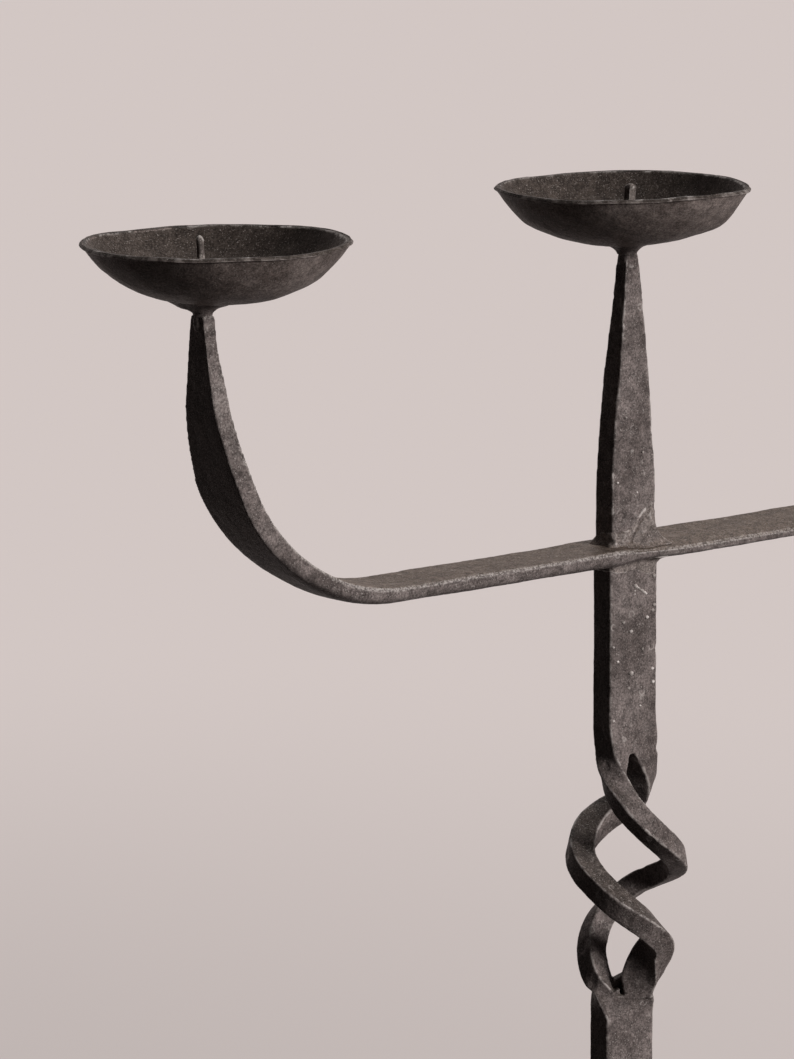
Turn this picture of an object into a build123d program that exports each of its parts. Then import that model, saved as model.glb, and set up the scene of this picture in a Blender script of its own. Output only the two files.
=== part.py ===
from build123d import *
from math import cos, pi, radians, sin, sqrt
import os

# Three-light pricket candle stand in forged iron.
# +X runs along the cross arm, +Z is up, and the origin is on the floor under the stem.

# Cross arm: one flat bar laid flat, with both ends turned up
ARM_TOP = 400.0
ARM_DEPTH = 27.0
ARM_THICKNESS = 6.5
ARM_BEND_RADIUS = 89.0
ARM_TIP_WIDTH = 7.5
ARM_TIP_DEPTH = 8.0
ARM_TAPER_START = 46.0
ARM_NECK_OFFSET = 209.5
NECK_TIP_LENGTH = 5.0

# Pans: shallow dishes with a flat floor and one round sweep up to the rim
PAN_RADIUS = 51.0
PAN_DEPTH = 22.5
PAN_WALL = 2.2
PAN_FLOOR_RADIUS = 11.0
OUTER_PAN_RIM = 139.5
CENTRE_PAN_RIM = 144.5
OUTER_PAN_SHIFT = 6.0
CENTRE_PAN_SHIFT = 2.0

# Prickets: blunt square spikes on a round shank
PRICKET_WIDTH = 4.0
PRICKET_TIP_WIDTH = 3.2
PRICKET_HEIGHT = 22.0
SHANK_DIAMETER = 3.2
SHANK_LENGTH = 9.0
SHANK_CLEARANCE = 0.1

# Weld under each pan, round the neck that carries it
NECK_WELD_TOP_RADIUS = 13.6
NECK_WELD_FOOT_RADIUS = 4.8
NECK_WELD_HEIGHT = 4.5

# Upper stem: flat bar on edge, drawn down to a square tip under the centre pan
UPPER_WIDTH = 22.0
UPPER_THICKNESS = 10.5
UPPER_TIP_WIDTH = 6.4
UPPER_TIP_THICKNESS = 5.8
UPPER_WIDTH_TAPER_START = 28.0
UPPER_THICKNESS_TAPER_START = 66.0
UPPER_NECK_LENGTH = 5.0

# Lower stem: flat bar, split and twisted through one full left-handed turn
STEM_WIDTH = 24.0
STEM_THICKNESS = 11.0
SPLIT_TOP = 86.3
SPLIT_LENGTH = 101.2
HEAD_TWIST_LENGTH = 12.0
FOOT_TWIST_LENGTH = 9.0
BASKET_RADIUS = 22.0
LEFT_STRAND_WIDTH = 8.8
RIGHT_STRAND_WIDTH = 11.7
STRAND_THICKNESS = 10.1
STRAND_SHOULDER = 0.2
STRAND_ROOT = 1.5
STRAND_SECTIONS = 29
TWIST_SECTIONS = 5
STRAND_THINNING_SHARE = 0.08
SLOPE_STEP_SHARE = 0.01
EASE_SHARE = 0.1

# Stations down the split, as shares of its length, and how far round each strand is there
STATION_SHARES = (0.0, 0.07, 0.15, 0.24, 0.33, 0.42, 0.51, 0.60, 0.69, 0.78, 0.86, 0.93, 1.0)
LEFT_ROUND_SHARES = (0.03, 0.068, 0.123, 0.192, 0.268, 0.354, 0.464, 0.594, 0.678, 0.757, 0.821, 0.868, 0.904)
RIGHT_ROUND_SHARES = (0.03, 0.026, 0.045, 0.111, 0.25, 0.386, 0.519, 0.629, 0.737, 0.829, 0.86, 0.884, 0.904)
# Swell of each strand from its place in the bar towards the basket's radius
LEFT_SWELL_SHARES = (0.0, 0.207, 0.437, 0.691, 0.839, 0.972, 1.0, 0.943, 0.796, 0.608, 0.424, 0.247, 0.0)
RIGHT_SWELL_SHARES = (0.0, 0.284, 0.479, 0.65, 0.704, 0.718, 0.681, 0.665, 0.636, 0.561, 0.288, 0.108, 0.0)
# Turn of each strand's faces, and its width as a share of its width at the split's top
LEFT_FACING_SHARES = (0.03, 0.12, 0.228, 0.288, 0.346, 0.41, 0.47, 0.543, 0.625, 0.692, 0.742, 0.793, 0.904)
RIGHT_FACING_SHARES = (0.03, 0.057, 0.11, 0.188, 0.331, 0.459, 0.506, 0.559, 0.639, 0.722, 0.804, 0.854, 0.904)
LEFT_WIDTH_SHARES = (1.0, 0.98, 0.96, 0.94, 0.93, 0.92, 0.92, 0.92, 0.93, 0.95, 0.97, 0.98, 1.0)
RIGHT_WIDTH_SHARES = (1.0, 0.98, 0.96, 0.94, 0.93, 0.92, 0.92, 0.92, 0.94, 1.06, 1.22, 1.28, 1.0)

# Weld where the stem's two lengths meet the arm
CROSSING_WELD_FLARE = 3.2
CROSSING_WELD_HEIGHT = 6.0
CROSSING_WELD_LIP = 0.6

# Base: two arched flat bars, halved together under the stem
FOOT_BAR_WIDTH = 25.0
FOOT_BAR_THICKNESS = 8.0
FOOT_BAR_RISE = 22.0
LONG_FOOT_REACH = 135.0
SHORT_FOOT_REACH = 115.0
FOOT_PAD_LENGTH = 24.0
FOOT_SLOPE_RUN = 34.0
FOOT_BEND_RADIUS = 12.0
HALVING_CLEARANCE = 0.1
TENON_DIAMETER = 9.5
TENON_CLEARANCE = 0.15
WASHER_DIAMETER = 20.0
WASHER_THICKNESS = 2.5
RIVET_HEAD_DIAMETER = 14.0
RIVET_HEAD_HEIGHT = 3.0

# One overrun for every cut
OVERRUN = 1.0

# Levels and places worked out from the sizes above
arm_bottom = ARM_TOP - ARM_THICKNESS
outer_rim = ARM_TOP + OUTER_PAN_RIM
centre_rim = ARM_TOP + CENTRE_PAN_RIM
outer_neck_top = outer_rim - PAN_DEPTH
centre_neck_top = centre_rim - PAN_DEPTH
split_top = ARM_TOP - SPLIT_TOP
split_foot = split_top - SPLIT_LENGTH
twist_head = split_top + HEAD_TWIST_LENGTH
twist_foot = split_foot - FOOT_TWIST_LENGTH
bar_underside = FOOT_BAR_RISE - FOOT_BAR_THICKNESS / 2
bar_top = FOOT_BAR_RISE + FOOT_BAR_THICKNESS / 2
shank_bore = SHANK_DIAMETER / 2 + SHANK_CLEARANCE
pan_sweep = ((PAN_RADIUS - PAN_FLOOR_RADIUS) ** 2 + PAN_DEPTH**2) / (2 * PAN_DEPTH)

os.makedirs("parts", exist_ok=True)


def finish(piece, label):
    piece.part.label = label
    export_step(piece.part, f"parts/{label}.step")


def pan_outline(lift, rim_radius):
    """Half section of a dish: floor, round sweep and rim, closed on its axis."""
    with BuildLine() as outline:
        floor = Line((0, lift), (PAN_FLOOR_RADIUS, lift))
        TangentArc(floor @ 1, (rim_radius, PAN_DEPTH), tangent=(1, 0))
        Polyline((rim_radius, PAN_DEPTH), (0, PAN_DEPTH), (0, lift))
    return outline.line


def pan_blank(pan_x, rim):
    """The dish filled to its rim: what a pan's underside presses into its weld."""
    with BuildPart() as blank:
        with BuildSketch(Plane.XZ):
            add(pan_outline(0, PAN_RADIUS))
            make_face()
        revolve(axis=Axis.Z)
    return blank.part.moved(Location((pan_x, 0, rim - PAN_DEPTH)))


def make_light(side, pan_x, neck_x, rim, neck_radius):
    """One pan with its pricket and the weld that joins both to the neck below."""
    floor = rim - PAN_DEPTH
    inner_sweep = pan_sweep - PAN_WALL
    inner_rim = PAN_FLOOR_RADIUS + sqrt(inner_sweep**2 - (pan_sweep - PAN_DEPTH) ** 2)
    blank = pan_blank(pan_x, rim)

    with BuildPart() as hollow:
        with BuildSketch(Plane.XZ):
            add(pan_outline(PAN_WALL, inner_rim))
            make_face()
        revolve(axis=Axis.Z)
    with BuildPart() as pan:
        add(blank)
        add(hollow.part.moved(Location((pan_x, 0, floor))), mode=Mode.SUBTRACT)
        with Locations((neck_x, 0, floor)):
            Cylinder(shank_bore, PAN_DEPTH, mode=Mode.SUBTRACT)
    finish(pan, f"{side}_pan")

    seat = floor + PAN_WALL
    with BuildPart() as pricket:
        with BuildSketch(Plane((neck_x, 0, seat))):
            Rectangle(PRICKET_WIDTH, PRICKET_WIDTH)
        with BuildSketch(Plane((neck_x, 0, seat + PRICKET_HEIGHT))):
            Rectangle(PRICKET_TIP_WIDTH, PRICKET_TIP_WIDTH)
        loft()
        chamfer(pricket.faces().sort_by(Axis.Z)[-1].edges(), PRICKET_TIP_WIDTH / 5)
        with BuildSketch(Plane((neck_x, 0, seat))):
            Circle(SHANK_DIAMETER / 2)
        extrude(amount=-SHANK_LENGTH)
    finish(pricket, f"{side}_pricket")

    weld_slope = (NECK_WELD_TOP_RADIUS - NECK_WELD_FOOT_RADIUS) / NECK_WELD_HEIGHT
    with BuildPart() as weld:
        with Locations((neck_x, 0, floor - NECK_WELD_HEIGHT)):
            Cone(
                NECK_WELD_FOOT_RADIUS,
                NECK_WELD_TOP_RADIUS + weld_slope * PAN_WALL,
                NECK_WELD_HEIGHT + PAN_WALL,
                align=(Align.CENTER, Align.CENTER, Align.MIN),
            )
        add(blank, mode=Mode.SUBTRACT)
        with Locations((neck_x, 0, floor)):
            Cylinder(neck_radius, PAN_DEPTH, mode=Mode.SUBTRACT)
    finish(weld, f"{side}_neck_weld")


def shank_hole(x, top):
    """Drilled socket for a pricket's shank in the top of a neck."""
    with Locations((x, 0, top)):
        Hole(shank_bore, SHANK_LENGTH - PAN_WALL + OVERRUN)


# Cross arm: side outline across the bar's depth, then drawn in towards both tips
arm_outer_x = ARM_NECK_OFFSET + ARM_TIP_WIDTH / 2
arm_inner_x = ARM_NECK_OFFSET - ARM_TIP_WIDTH / 2
arm_tip_foot = outer_neck_top - NECK_TIP_LENGTH
with BuildPart() as cross_arm:
    with BuildSketch(Plane.XZ):
        with BuildLine():
            FilletPolyline(
                (0, arm_bottom),
                (arm_outer_x, arm_bottom),
                (arm_outer_x, arm_tip_foot),
                radius=ARM_BEND_RADIUS,
            )
            Line((arm_outer_x, arm_tip_foot), (arm_inner_x, arm_tip_foot))
            FilletPolyline(
                (arm_inner_x, arm_tip_foot),
                (arm_inner_x, ARM_TOP),
                (0, ARM_TOP),
                radius=ARM_BEND_RADIUS - ARM_THICKNESS,
            )
            Line((0, ARM_TOP), (0, arm_bottom))
        make_face()
        mirror(about=Plane.YZ)
    extrude(amount=ARM_DEPTH / 2, both=True)
    with BuildSketch(Plane.YZ):
        with BuildLine():
            Polyline(
                (0, arm_bottom),
                (ARM_DEPTH / 2, arm_bottom),
                (ARM_DEPTH / 2, ARM_TOP + ARM_TAPER_START),
                (ARM_TIP_DEPTH / 2, arm_tip_foot),
                (0, arm_tip_foot),
                close=True,
            )
        make_face()
        mirror(about=Plane.YZ)
    extrude(amount=arm_outer_x + OVERRUN, both=True, mode=Mode.INTERSECT)
    for neck_x in (-ARM_NECK_OFFSET, ARM_NECK_OFFSET):
        with BuildSketch(Plane((neck_x, 0, arm_tip_foot))):
            Circle(ARM_TIP_WIDTH / 2)
        extrude(amount=NECK_TIP_LENGTH)
        shank_hole(neck_x, outer_neck_top)
finish(cross_arm, "cross_arm")

# Upper stem: broad face and narrow face outlines, crossed
upper_tip_foot = centre_neck_top - UPPER_NECK_LENGTH
with BuildPart() as upper_stem:
    with BuildSketch(Plane.XZ):
        with BuildLine():
            Polyline(
                (0, ARM_TOP),
                (UPPER_WIDTH / 2, ARM_TOP),
                (UPPER_WIDTH / 2, ARM_TOP + UPPER_WIDTH_TAPER_START),
                (UPPER_TIP_WIDTH / 2, upper_tip_foot),
                (0, upper_tip_foot),
                close=True,
            )
        make_face()
        mirror(about=Plane.YZ)
    extrude(amount=UPPER_THICKNESS / 2, both=True)
    with BuildSketch(Plane.YZ):
        with BuildLine():
            Polyline(
                (0, ARM_TOP),
                (UPPER_THICKNESS / 2, ARM_TOP),
                (UPPER_THICKNESS / 2, ARM_TOP + UPPER_THICKNESS_TAPER_START),
                (UPPER_TIP_THICKNESS / 2, upper_tip_foot),
                (0, upper_tip_foot),
                close=True,
            )
        make_face()
        mirror(about=Plane.YZ)
    extrude(amount=UPPER_WIDTH, both=True, mode=Mode.INTERSECT)
    with BuildSketch(Plane.XY.offset(upper_tip_foot)):
        Circle(UPPER_TIP_WIDTH / 2)
    extrude(amount=UPPER_NECK_LENGTH)
    shank_hole(0, centre_neck_top)
finish(upper_stem, "upper_stem")


def table_slope(table, index):
    """Slope of a table of shares at one station, from the stations on both sides of it."""
    above = max(index - 1, 0)
    below = min(index + 1, len(table) - 1)
    return (table[below] - table[above]) / (STATION_SHARES[below] - STATION_SHARES[above])


def read_table(table, down_share):
    """A table's value part of the way down the split, on a smooth curve through its stations."""
    below = 1
    while STATION_SHARES[below] < down_share:
        below += 1
    above = below - 1
    span = STATION_SHARES[below] - STATION_SHARES[above]
    part_share = (down_share - STATION_SHARES[above]) / span
    blend_share = part_share**2 * (3 - 2 * part_share)
    leaving = table_slope(table, above) * span * part_share * (1 - part_share) ** 2
    arriving = table_slope(table, below) * span * part_share**2 * (1 - part_share)
    return table[above] + blend_share * (table[below] - table[above]) + leaving - arriving


def strand_point(strand, down_share):
    """Middle of one strand, part of the way down the split."""
    start_angle, width, round_shares, swell_shares, _, _ = strand
    angle = radians(start_angle + 360 * read_table(round_shares, down_share))
    end_reach = (STEM_WIDTH - width) / 2 - STRAND_SHOULDER
    reach = end_reach + read_table(swell_shares, down_share) * (BASKET_RADIUS - end_reach)
    return Vector(reach * cos(angle), reach * sin(angle), split_top - SPLIT_LENGTH * down_share)


def strand_section(strand, down_share):
    """One strand's section, thinner towards the middle of the split and turned with its faces."""
    start_angle, width, _, _, facing_shares, width_shares = strand
    along = Vector(0, 0, -1)
    if 0 < down_share < 1:
        before = strand_point(strand, down_share - SLOPE_STEP_SHARE)
        after = strand_point(strand, down_share + SLOPE_STEP_SHARE)
        lean_share = min(1, down_share / EASE_SHARE, (1 - down_share) / EASE_SHARE)
        along = (along * (1 - lean_share) + (after - before).normalized() * lean_share).normalized()
    facing = radians(start_angle + 360 * read_table(facing_shares, down_share))
    outward = Vector(cos(facing), sin(facing), 0)
    across = outward - along * outward.dot(along)
    thinned_share = 1 - STRAND_THINNING_SHARE * sin(pi * down_share)
    with BuildSketch(Plane(strand_point(strand, down_share), x_dir=across, z_dir=along)) as section:
        Rectangle(width * read_table(width_shares, down_share), STRAND_THICKNESS * thinned_share)
    return section.sketch


def bar_end(level, twist, turn):
    """Solid end of the bar beside the split: turned with the strands there, straight a twist away."""
    sections = []
    for index in range(TWIST_SECTIONS):
        away_share = index / (TWIST_SECTIONS - 1)
        with BuildSketch(Plane.XY.offset(level + twist * away_share)) as section:
            Rectangle(STEM_WIDTH, STEM_THICKNESS, rotation=turn * (1 - away_share))
        sections.append(section.sketch)
    with BuildPart() as turned:
        loft(sections, ruled=True)
    return turned.part


head_turn = 360 * LEFT_ROUND_SHARES[0]
foot_turn = 360 * (LEFT_ROUND_SHARES[-1] - 1)
head_root = Location((0, 0, STRAND_ROOT), (0, 0, -head_turn * STRAND_ROOT / HEAD_TWIST_LENGTH))
foot_root = Location((0, 0, -STRAND_ROOT), (0, 0, -foot_turn * STRAND_ROOT / FOOT_TWIST_LENGTH))
strands = []
for strand in (
    (180, LEFT_STRAND_WIDTH, LEFT_ROUND_SHARES, LEFT_SWELL_SHARES, LEFT_FACING_SHARES, LEFT_WIDTH_SHARES),
    (0, RIGHT_STRAND_WIDTH, RIGHT_ROUND_SHARES, RIGHT_SWELL_SHARES, RIGHT_FACING_SHARES, RIGHT_WIDTH_SHARES),
):
    stations = [index / (STRAND_SECTIONS - 1) for index in range(STRAND_SECTIONS)]
    sections = [strand_section(strand, share) for share in stations]
    with BuildPart() as twisted:
        loft([sections[0].moved(head_root), *sections, sections[-1].moved(foot_root)], ruled=True)
    strands.append(twisted.part)

with BuildPart() as lower_stem:
    with BuildSketch(Plane.XY.offset(twist_head)):
        Rectangle(STEM_WIDTH, STEM_THICKNESS)
    extrude(amount=arm_bottom - twist_head)
    with BuildSketch(Plane.XY.offset(bar_top)):
        Rectangle(STEM_WIDTH, STEM_THICKNESS)
    extrude(amount=twist_foot - bar_top)
    add(bar_end(split_top, HEAD_TWIST_LENGTH, head_turn))
    add(bar_end(split_foot, -FOOT_TWIST_LENGTH, foot_turn))
    add(strands)
    with BuildSketch(Plane.XY.offset(bar_top)):
        Circle(TENON_DIAMETER / 2)
    extrude(amount=-(FOOT_BAR_THICKNESS + WASHER_THICKNESS))
    with BuildSketch(Plane.XY.offset(bar_underside - WASHER_THICKNESS)):
        Circle(RIVET_HEAD_DIAMETER / 2)
    extrude(amount=-RIVET_HEAD_HEIGHT)
finish(lower_stem, "lower_stem")


def crossing_weld(label, level, direction, width, thickness):
    """Bead round a stem's end, widest against the arm."""
    with BuildPart() as weld:
        with BuildSketch(Plane.XY.offset(level)):
            RectangleRounded(
                width + 2 * CROSSING_WELD_FLARE,
                thickness + 2 * CROSSING_WELD_FLARE,
                CROSSING_WELD_FLARE,
            )
        with BuildSketch(Plane.XY.offset(level + direction * CROSSING_WELD_HEIGHT)):
            RectangleRounded(
                width + 2 * CROSSING_WELD_LIP,
                thickness + 2 * CROSSING_WELD_LIP,
                CROSSING_WELD_LIP,
            )
        loft()
        with BuildSketch(Plane.XY.offset(level)):
            Rectangle(width, thickness)
        extrude(amount=CROSSING_WELD_HEIGHT + OVERRUN, both=True, mode=Mode.SUBTRACT)
    finish(weld, label)


crossing_weld("upper_crossing_weld", ARM_TOP, 1, UPPER_WIDTH, UPPER_THICKNESS)
crossing_weld("lower_crossing_weld", arm_bottom, -1, STEM_WIDTH, STEM_THICKNESS)
crossing_weld("stem_foot_weld", bar_top, 1, STEM_WIDTH, STEM_THICKNESS)

# The three lights
make_light("left", -(ARM_NECK_OFFSET - OUTER_PAN_SHIFT), -ARM_NECK_OFFSET, outer_rim, ARM_TIP_WIDTH / 2)
make_light("centre", -CENTRE_PAN_SHIFT, 0, centre_rim, UPPER_TIP_WIDTH / 2)
make_light("right", ARM_NECK_OFFSET - OUTER_PAN_SHIFT, ARM_NECK_OFFSET, outer_rim, ARM_TIP_WIDTH / 2)


def foot_bar(label, profile_plane, across, reach, notch_side):
    """Arched bar of the base; notch_side is 1 where its upper half is cut away, -1 for the lower."""
    pad_level = FOOT_BAR_THICKNESS / 2
    slope_x = reach - FOOT_PAD_LENGTH
    level_x = slope_x - FOOT_SLOPE_RUN
    with BuildPart() as bar:
        with BuildLine(profile_plane) as arch:
            FilletPolyline(
                (-reach, pad_level),
                (-slope_x, pad_level),
                (-level_x, FOOT_BAR_RISE),
                (level_x, FOOT_BAR_RISE),
                (slope_x, pad_level),
                (reach, pad_level),
                radius=FOOT_BEND_RADIUS,
            )
        start = arch.line @ 0
        with BuildSketch(Plane(start, x_dir=across, z_dir=arch.line % 0)):
            Rectangle(FOOT_BAR_WIDTH, FOOT_BAR_THICKNESS)
        sweep()
        notch = FOOT_BAR_WIDTH + 2 * HALVING_CLEARANCE
        with BuildSketch(Plane.XY.offset(FOOT_BAR_RISE)):
            Rectangle(notch, notch)
        extrude(amount=notch_side * FOOT_BAR_THICKNESS, mode=Mode.SUBTRACT)
        with BuildSketch(Plane.XY.offset(FOOT_BAR_RISE)):
            Circle(TENON_DIAMETER / 2 + TENON_CLEARANCE)
        extrude(amount=FOOT_BAR_THICKNESS, both=True, mode=Mode.SUBTRACT)
    finish(bar, label)


foot_bar("long_foot_bar", Plane.XZ, (0, 1, 0), LONG_FOOT_REACH, -1)
foot_bar("short_foot_bar", Plane.YZ, (1, 0, 0), SHORT_FOOT_REACH, 1)

with BuildPart() as tenon_washer:
    with BuildSketch(Plane.XY.offset(bar_underside)):
        Circle(WASHER_DIAMETER / 2)
        Circle(TENON_DIAMETER / 2 + TENON_CLEARANCE, mode=Mode.SUBTRACT)
    extrude(amount=-WASHER_THICKNESS)
finish(tenon_washer, "tenon_washer")
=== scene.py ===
import math
from types import SimpleNamespace

import bmesh
import bpy
import numpy as np
from mathutils import Matrix, Vector


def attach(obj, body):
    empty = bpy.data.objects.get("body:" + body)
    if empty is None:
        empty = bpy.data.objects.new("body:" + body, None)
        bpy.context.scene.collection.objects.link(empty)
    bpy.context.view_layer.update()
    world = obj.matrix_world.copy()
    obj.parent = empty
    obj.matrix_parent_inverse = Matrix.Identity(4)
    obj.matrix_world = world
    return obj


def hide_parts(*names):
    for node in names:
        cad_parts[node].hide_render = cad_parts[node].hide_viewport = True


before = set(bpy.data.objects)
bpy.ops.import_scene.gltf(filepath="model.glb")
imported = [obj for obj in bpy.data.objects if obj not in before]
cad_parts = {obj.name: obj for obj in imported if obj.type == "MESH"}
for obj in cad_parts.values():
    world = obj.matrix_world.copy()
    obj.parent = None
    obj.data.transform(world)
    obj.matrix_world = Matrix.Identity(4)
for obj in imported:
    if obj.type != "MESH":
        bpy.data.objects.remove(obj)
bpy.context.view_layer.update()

# Sizes are in millimetres, as in the part's source, and become metres only where a mesh is made
MM = 0.001

# Arm
ARM_TOP = 400.0
ARM_THICKNESS = 6.5
ARM_BOTTOM = ARM_TOP - ARM_THICKNESS
ARM_HALF = ARM_THICKNESS / 2
ARM_DEPTH = 27.0
ARM_BEND_RADIUS = 89.0
ARM_TIP_WIDTH = 7.5
NECK_X = 209.5
ARM_BEND_X = NECK_X + ARM_TIP_WIDTH / 2 - ARM_BEND_RADIUS
ARM_BEND_Z = ARM_BOTTOM + ARM_BEND_RADIUS

# Pans and prickets
PAN_RADIUS = 51.0
PAN_DEPTH = 22.5
PAN_WALL = 2.2
PAN_FLOOR_RADIUS = 11.0
PAN_SWEEP = ((PAN_RADIUS - PAN_FLOOR_RADIUS) ** 2 + PAN_DEPTH**2) / (2 * PAN_DEPTH)
OUTER_PAN_SHIFT = 6.0
OUTER_PAN_X = NECK_X - OUTER_PAN_SHIFT
CENTRE_PAN_X = -2.0
OUTER_RIM_HEIGHT = 139.5
OUTER_RIM = ARM_TOP + OUTER_RIM_HEIGHT
CENTRE_RIM_HEIGHT = 144.5
CENTRE_RIM = ARM_TOP + CENTRE_RIM_HEIGHT
PRICKET_HEIGHT = 22.0

# Stems
UPPER_WIDTH = 22.0
UPPER_THICKNESS = 10.5
STEM_WIDTH = 24.0
STEM_THICKNESS = 11.0
STEM_CORNER = 0.7

# Split and twist
SPLIT_DROP = 86.3
SPLIT_TOP = ARM_TOP - SPLIT_DROP
SPLIT_LENGTH = 101.2
SPLIT_FOOT = SPLIT_TOP - SPLIT_LENGTH
HEAD_TWIST_LENGTH = 12.0
FOOT_TWIST_LENGTH = 9.0
TWIST_EASE_POWER = 1.2
TWIST_SECTIONS = 15
BASKET_RADIUS = 22.0
LEFT_STRAND_WIDTH = 8.8
RIGHT_STRAND_WIDTH = 11.7
STRAND_THICKNESS = 10.1
STRAND_CORNER = 0.6
STRAND_SHOULDER = 0.2
STRAND_ROOT = 1.5
STRAND_SECTIONS = 181
STRAND_THINNING_SHARE = 0.08
STRAND_ROOT_SHARE = 0.08
LEAN_SHARE = 0.1
COURSE_STEP_SHARE = 0.005

# Base
FOOT_BAR_RISE = 22.0
FOOT_BAR_THICKNESS = 8.0
BAR_TOP = FOOT_BAR_RISE + FOOT_BAR_THICKNESS / 2
BAR_UNDERSIDE = FOOT_BAR_RISE - FOOT_BAR_THICKNESS / 2
TENON_RADIUS = 4.75
TENON_AROUND = 48
WASHER_THICKNESS = 2.5
RIVET_RADIUS = 7.0
RIVET_HEIGHT = 3.0

# The twist: stations down the split, and each strand's way round, swell, turn of faces and width there
STATION_SHARES = (0.0, 0.07, 0.15, 0.24, 0.33, 0.42, 0.51, 0.60, 0.69, 0.78, 0.86, 0.93, 1.0)
LEFT_ROUND_SHARES = (0.03, 0.068, 0.123, 0.192, 0.268, 0.354, 0.464, 0.594, 0.678, 0.757, 0.821, 0.868, 0.904)
RIGHT_ROUND_SHARES = (0.03, 0.026, 0.045, 0.111, 0.25, 0.386, 0.519, 0.629, 0.737, 0.829, 0.86, 0.884, 0.904)
LEFT_SWELL_SHARES = (0.0, 0.207, 0.437, 0.691, 0.839, 0.972, 1.0, 0.943, 0.796, 0.608, 0.424, 0.247, 0.0)
RIGHT_SWELL_SHARES = (0.0, 0.284, 0.479, 0.65, 0.704, 0.718, 0.681, 0.665, 0.636, 0.561, 0.288, 0.108, 0.0)
LEFT_FACING_SHARES = (0.03, 0.12, 0.228, 0.288, 0.346, 0.41, 0.47, 0.543, 0.625, 0.692, 0.742, 0.793, 0.904)
RIGHT_FACING_SHARES = (
    0.03, 0.057, 0.11, 0.188, 0.331, 0.459, 0.506, 0.559, 0.639, 0.722, 0.804, 0.854, 0.904,
)
LEFT_WIDTH_SHARES = (1.0, 0.98, 0.96, 0.94, 0.93, 0.92, 0.92, 0.92, 0.93, 0.95, 0.97, 0.98, 1.0)
RIGHT_WIDTH_SHARES = (1.0, 0.98, 0.96, 0.94, 0.93, 0.92, 0.92, 0.92, 0.94, 1.06, 1.22, 1.28, 1.0)
HEAD_TURN = 360 * LEFT_ROUND_SHARES[0]
FOOT_TURN = 360 * (LEFT_ROUND_SHARES[-1] - 1)

# The skin's unevenness: sizes of its sway, chips and grain, and a shift that keeps cell numbers positive
SWAY_SIZE = 38.0
CHIP_SIZE = 4.5
CHIP_START = 0.45
SKIN_GRAIN_SIZE = 1.9
CELL_SHIFT = 1000.0

# Points of a CAD mesh that are closer than this are one point
JOIN_GAP = 0.01


def lattice(cells, seed):
    """A fixed value from 0 to 1 for every whole-number cell."""
    x, y, z = (cells[:, axis].astype(np.uint64) for axis in range(3))
    mixed = x * np.uint64(73856093) ^ y * np.uint64(19349663) ^ z * np.uint64(83492791)
    mixed = (mixed + np.uint64(seed * 2654435761 % 4294967296)) & np.uint64(0xFFFFFFFF)
    mixed = (mixed ^ (mixed >> np.uint64(15))) * np.uint64(2246822519) & np.uint64(0xFFFFFFFF)
    mixed = (mixed ^ (mixed >> np.uint64(13))) * np.uint64(3266489917) & np.uint64(0xFFFFFFFF)
    mixed = mixed ^ (mixed >> np.uint64(16))
    return mixed.astype(float) / 4294967295.0


def noise(points, size, seed):
    """Smooth noise from -1 to 1, with features of about the given size."""
    scaled = points / size + CELL_SHIFT
    base = np.floor(scaled).astype(np.int64)
    part = scaled - base
    part = part**3 * (part * (part * 6 - 15) + 10)
    total = np.zeros(len(points))
    for corner in np.ndindex(2, 2, 2):
        weight = np.ones(len(points))
        for axis in range(3):
            weight = weight * (part[:, axis] if corner[axis] else 1 - part[:, axis])
        total += weight * lattice(base + np.array(corner), seed)
    return 2 * total - 1


def rough(points, size, seed, octaves=3):
    """Noise with finer noise laid over it."""
    total = np.zeros(len(points))
    for octave in range(octaves):
        total += noise(points, size / 2**octave, seed + octave) / 2**octave
    return total


def facets(points, size, seed):
    """Hammer marks: shallow dishes, about -0.5 in their middles and 0.5 on the ridges between them."""
    scaled = points / size + CELL_SHIFT
    base = np.floor(scaled).astype(np.int64)
    nearest = np.full(len(points), 9.0)
    for corner in np.ndindex(3, 3, 3):
        cells = base + np.array(corner) - 1
        middle = cells + np.stack([lattice(cells, seed + 11 * axis) for axis in range(3)], axis=1)
        nearest = np.minimum(nearest, ((scaled - middle) ** 2).sum(axis=1))
    return np.minimum(nearest, 1.0) - 0.5


def ramp(values, low, high):
    """A smooth step from 0 at the low value to 1 at the high one."""
    share = np.clip((values - low) / (high - low), 0, 1)
    return share * share * (3 - 2 * share)


def hump(values, middle, span):
    """A smooth hump, 1 at its middle and nearly 0 two spans away."""
    return np.exp(-(((values - middle) / span) ** 2))


def add_object(name, points, faces):
    """New object from points in millimetres."""
    mesh = bpy.data.meshes.new(name)
    mesh.from_pydata((np.asarray(points) * MM).tolist(), [], faces)
    mesh.update()
    obj = bpy.data.objects.new(name, mesh)
    bpy.context.scene.collection.objects.link(obj)
    return obj


def tube_faces(rings, around, first=0, capped=True):
    """Quads between rings of points that follow each other, with a cap on both ends."""
    faces = []
    for ring in range(rings - 1):
        for step in range(around):
            after = (step + 1) % around
            low = first + ring * around
            faces.append((low + step, low + after, low + around + after, low + around + step))
    if capped:
        faces.append(tuple(first + step for step in reversed(range(around))))
        faces.append(tuple(first + (rings - 1) * around + step for step in range(around)))
    return faces


def box_outline(width, depth, corner, steps=3):
    """Points round a rectangle with rounded corners, anticlockwise."""
    points = []
    for x_side, y_side, start in ((1, 1, 0), (-1, 1, 90), (-1, -1, 180), (1, -1, 270)):
        for step in range(steps + 1):
            turn = math.radians(start + 90 * step / steps)
            x = x_side * (width / 2 - corner) + corner * math.cos(turn)
            y = y_side * (depth / 2 - corner) + corner * math.sin(turn)
            points.append((x, y))
    return np.array(points)


def level_ring(outline, level):
    """An outline's points at one level, or each at its own."""
    return np.column_stack([outline, np.broadcast_to(level, len(outline))])


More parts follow.
